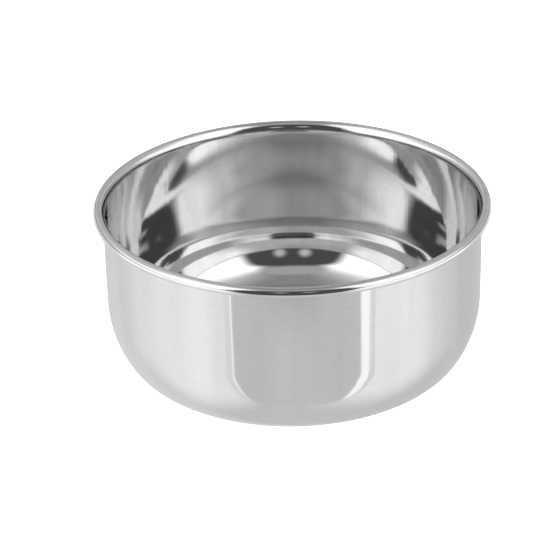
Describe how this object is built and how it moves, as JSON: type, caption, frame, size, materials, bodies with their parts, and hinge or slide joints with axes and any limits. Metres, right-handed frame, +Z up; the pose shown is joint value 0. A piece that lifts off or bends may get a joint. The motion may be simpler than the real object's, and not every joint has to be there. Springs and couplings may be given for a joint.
{
  "type": "shaving bowl",
  "caption": "Round open shaving bowl, deep drawn from polished stainless sheet, with a flat floor, an upright wall and a rolled rim.",
  "frame": {"origin": "centre of the flat underside, where the bowl stands", "axes": "+Z up the bowl's axis, out of its mouth; X and Y are any two radii, because the bowl is round"},
  "size_m": [0.1, 0.1, 0.047],
  "materials": {
    "polished_steel": "mirror-polished stainless steel sheet, not plated"
  },
  "bodies": {
    "root": {"bowl_shell": "polished_steel"}
  },
  "joints": []
}
